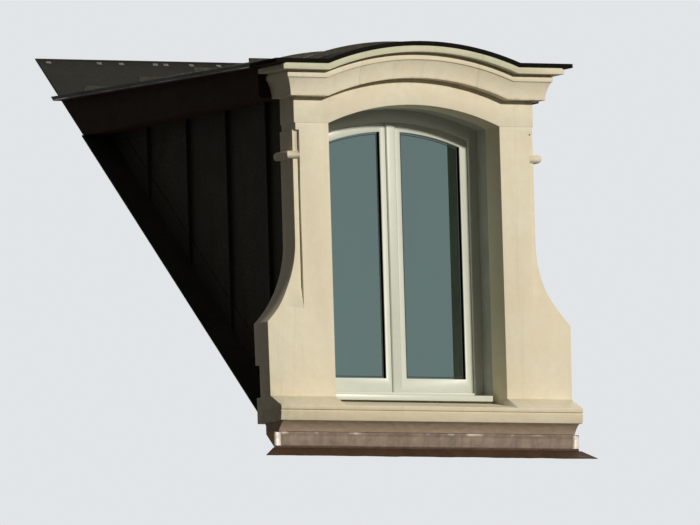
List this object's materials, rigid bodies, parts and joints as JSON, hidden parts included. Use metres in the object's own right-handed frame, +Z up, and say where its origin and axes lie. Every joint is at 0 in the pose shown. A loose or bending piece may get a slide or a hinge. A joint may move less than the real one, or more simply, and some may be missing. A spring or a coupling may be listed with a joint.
{
  "type": "stone-fronted dormer window",
  "caption": "Dormer window for a pitched roof: arched stone front with scroll wings and moulded cornice, a casement pair, clad cheeks and a seamed metal roof.",
  "frame": {"origin": "on the roof slope, at the middle of the front curb's sloping seat, below the stone front", "axes": "+X to the right seen from outside, +Y level into the roof, +Z up; the roof slope rises at 40 degrees along +Y through the origin"},
  "size_m": [1.84, 2.7235, 2.2246],
  "materials": {
    "stone": "matte dressed pale limestone, slightly weathered",
    "mortar": "matte warm grey mortar",
    "timber": "sawn softwood",
    "eave_paint": "dark stained boards",
    "zinc": "dull dark weathered zinc",
    "lead": "dull weathered lead",
    "plasterboard": "matte painted board",
    "window_paint": "satin white paint",
    "window_glass": "clear double glazing"
  },
  "bodies": {
    "root": {"astragal": "window_paint", "ceiling_lining": "plasterboard", "centre_cornice": "stone", "cornice_cap": "zinc", "front_curb": "timber", "head_beam": "timber", "lead_apron": "lead", "left_cheek_cladding": "zinc", "left_cheek_curb": "timber", "left_cheek_lining": "plasterboard", "left_cheek_wall": "timber", "left_cornice": "stone", "left_fascia": "eave_paint", "left_glass": "window_glass", "left_jamb": "stone", "left_post": "timber", "left_sash": "window_paint", "left_side_flashing": "zinc", "left_soffit": "eave_paint", "lintel": "stone", "rear_flashing": "zinc", "rear_trimmer": "timber", "reveal_lining": "window_paint", "right_cheek_cladding": "zinc", "right_cheek_curb": "timber", "right_cheek_lining": "plasterboard", "right_cheek_wall": "timber", "right_cornice": "stone", "right_fascia": "eave_paint", "right_glass": "window_glass", "right_jamb": "stone", "right_post": "timber", "right_sash": "window_paint", "right_side_flashing": "zinc", "right_soffit": "eave_paint", "roof_deck": "timber", "roof_joists": "timber", "roof_sheets": "zinc", "sill_bed": "mortar", "sill_stone": "stone", "sill_trimmer": "timber", "standing_seams": "zinc", "window_bar": "window_paint", "window_frame": "window_paint"}
  },
  "joints": []
}
